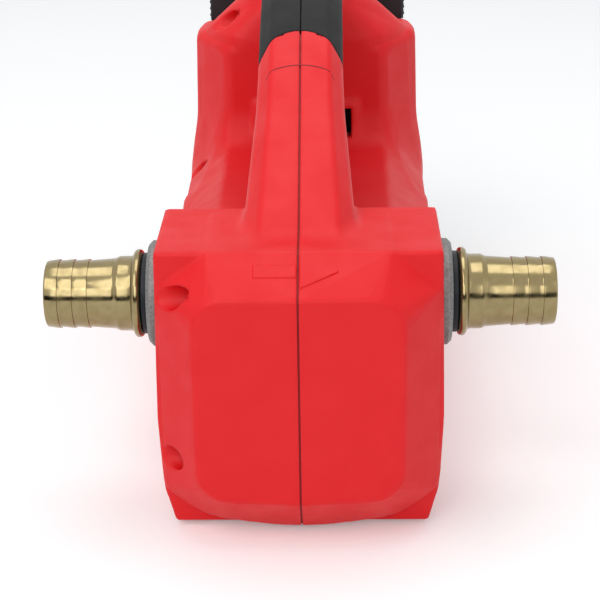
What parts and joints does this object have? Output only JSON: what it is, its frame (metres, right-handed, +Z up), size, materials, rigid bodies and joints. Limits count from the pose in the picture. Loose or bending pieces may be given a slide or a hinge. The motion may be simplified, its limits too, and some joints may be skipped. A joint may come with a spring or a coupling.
{
  "type": "battery transfer pump",
  "caption": "Hand-carried battery transfer pump: red clamshell with a D-handle, side ports with brass hose barbs, flexible-impeller pump, geared motor and slide-on pack.",
  "frame": {"origin": "bottom centre of the whole pump's box, on the floor under the feet", "axes": "+Z up, +Y from the front panel towards the battery, +X from the inlet port towards the outlet port"},
  "size_m": [0.157, 0.261, 0.1545],
  "materials": {
    "red_nylon": "moulded, fine spark texture",
    "black_rubber": "matt, soft touch",
    "seal_rubber": "smooth nitrile",
    "cast_aluminium": "die cast, tumbled",
    "polished_brass": "turned and polished",
    "zinc_steel": "zinc plated",
    "stainless": "ground stainless",
    "gear_steel": "sintered steel, oiled",
    "motor_steel": "nickel plated",
    "ferrite": "ground ferrite",
    "copper": "enamelled copper",
    "bronze": "sintered bronze",
    "contact_brass": "rolled and plated",
    "carbon": "pressed carbon",
    "natural_nylon": "moulded, natural",
    "black_nylon": "moulded, fine texture",
    "grey_nylon": "moulded",
    "red_wire": "PVC insulation",
    "black_wire": "PVC insulation",
    "cell_sleeve": "shrink sleeve",
    "circuit_board": "solder mask",
    "lamp_window": "tinted window"
  },
  "bodies": {
    "housing": {"left_housing": "red_nylon", "right_housing": "red_nylon", "housing_screws": "zinc_steel", "left_grip": "black_rubber", "right_grip": "black_rubber", "rubber_feet": "black_rubber", "pump_head": "cast_aluminium", "pump_cover": "cast_aluminium", "cover_seal": "seal_rubber", "cover_screws": "zinc_steel", "wear_plate": "stainless", "cam_insert": "stainless", "inlet_barb": "polished_brass", "outlet_barb": "polished_brass", "inlet_gasket": "seal_rubber", "outlet_gasket": "seal_rubber", "shaft_seal": "seal_rubber", "front_bearing": "stainless", "rear_bearing": "stainless", "gearcase": "cast_aluminium", "gearcase_screws": "zinc_steel", "ring_gear": "gear_steel", "motor_can": "motor_steel", "field_magnets": "ferrite", "motor_end_cap": "cast_aluminium", "brush_holders": "contact_brass", "carbon_brushes": "carbon", "motor_bushes": "bronze", "switch_body": "black_nylon", "battery_rails": "black_nylon", "terminal_block": "black_nylon", "terminal_blades": "contact_brass", "red_leads": "red_wire", "black_leads": "black_wire"},
    "impeller_drive": {"pump_shaft": "stainless", "impeller": "seal_rubber", "impeller_insert": "polished_brass", "planet_carrier": "gear_steel", "carrier_pins": "stainless"},
    "planet_1": {"planet_gear_1": "gear_steel"},
    "planet_2": {"planet_gear_2": "gear_steel"},
    "planet_3": {"planet_gear_3": "gear_steel"},
    "rotor": {"motor_shaft": "stainless", "sun_pinion": "gear_steel", "armature_core": "motor_steel", "windings": "copper", "commutator": "copper", "cooling_fan": "natural_nylon"},
    "rocker": {"rocker": "black_nylon"},
    "battery": {"pack_front_shell": "black_nylon", "pack_rear_shell": "black_nylon", "pack_cells": "cell_sleeve", "pack_board": "circuit_board", "pack_contacts": "contact_brass", "left_release_spring": "zinc_steel", "right_release_spring": "zinc_steel", "gauge_lights": "lamp_window"},
    "left_release": {"left_release": "grey_nylon"},
    "right_release": {"right_release": "grey_nylon"},
    "gauge_button": {"gauge_button": "grey_nylon"}
  },
  "joints": [
    {"name": "rotor_spin", "type": "hinge", "parent": "housing", "child": "rotor", "pos_m": [0, -0.01205, 0.042], "axis": [0, 1, 0], "continuous": true},
    {"name": "impeller_spin", "type": "hinge", "parent": "housing", "child": "impeller_drive", "pos_m": [0, -0.09605, 0.042], "axis": [0, 1, 0], "continuous": true},
    {"name": "planet_1_spin", "type": "hinge", "parent": "impeller_drive", "child": "planet_1", "pos_m": [0.0105, -0.051, 0.042], "axis": [0, 1, 0], "continuous": true},
    {"name": "planet_2_spin", "type": "hinge", "parent": "impeller_drive", "child": "planet_2", "pos_m": [-0.00525, -0.051, 0.03291], "axis": [0, 1, 0], "continuous": true},
    {"name": "planet_3_spin", "type": "hinge", "parent": "impeller_drive", "child": "planet_3", "pos_m": [-0.00525, -0.051, 0.05109], "axis": [0, 1, 0], "continuous": true},
    {"name": "rocker_tilt", "type": "hinge", "parent": "housing", "child": "rocker", "pos_m": [0, 0.04935, 0.0863], "axis": [0, 0, 1], "range_deg": [0, 16]},
    {"name": "battery_slide", "type": "slide", "parent": "housing", "child": "battery", "axis": [0, 0, 1], "range_m": [0, 0.07]},
    {"name": "left_release_press", "type": "slide", "parent": "battery", "child": "left_release", "axis": [1, 0, 0], "range_m": [0, 0.0025], "stiffness_N_per_m": 600, "springref_m": -0.002, "deforming": ["left_release_spring"]},
    {"name": "right_release_press", "type": "slide", "parent": "battery", "child": "right_release", "axis": [-1, 0, 0], "range_m": [0, 0.0025], "stiffness_N_per_m": 600, "springref_m": -0.002, "deforming": ["right_release_spring"]},
    {"name": "gauge_press", "type": "slide", "parent": "battery", "child": "gauge_button", "axis": [0, -1, 0], "range_m": [0, 0.0005], "stiffness_N_per_m": 400, "springref_m": -0.0005}
  ],
  "couplings": [
    {"joint": "impeller_spin", "follows": "rotor_spin", "ratio": 0.2},
    {"joint": "planet_1_spin", "follows": "rotor_spin", "ratio": -0.53333},
    {"joint": "planet_2_spin", "follows": "rotor_spin", "ratio": -0.53333},
    {"joint": "planet_3_spin", "follows": "rotor_spin", "ratio": -0.53333}
  ]
}
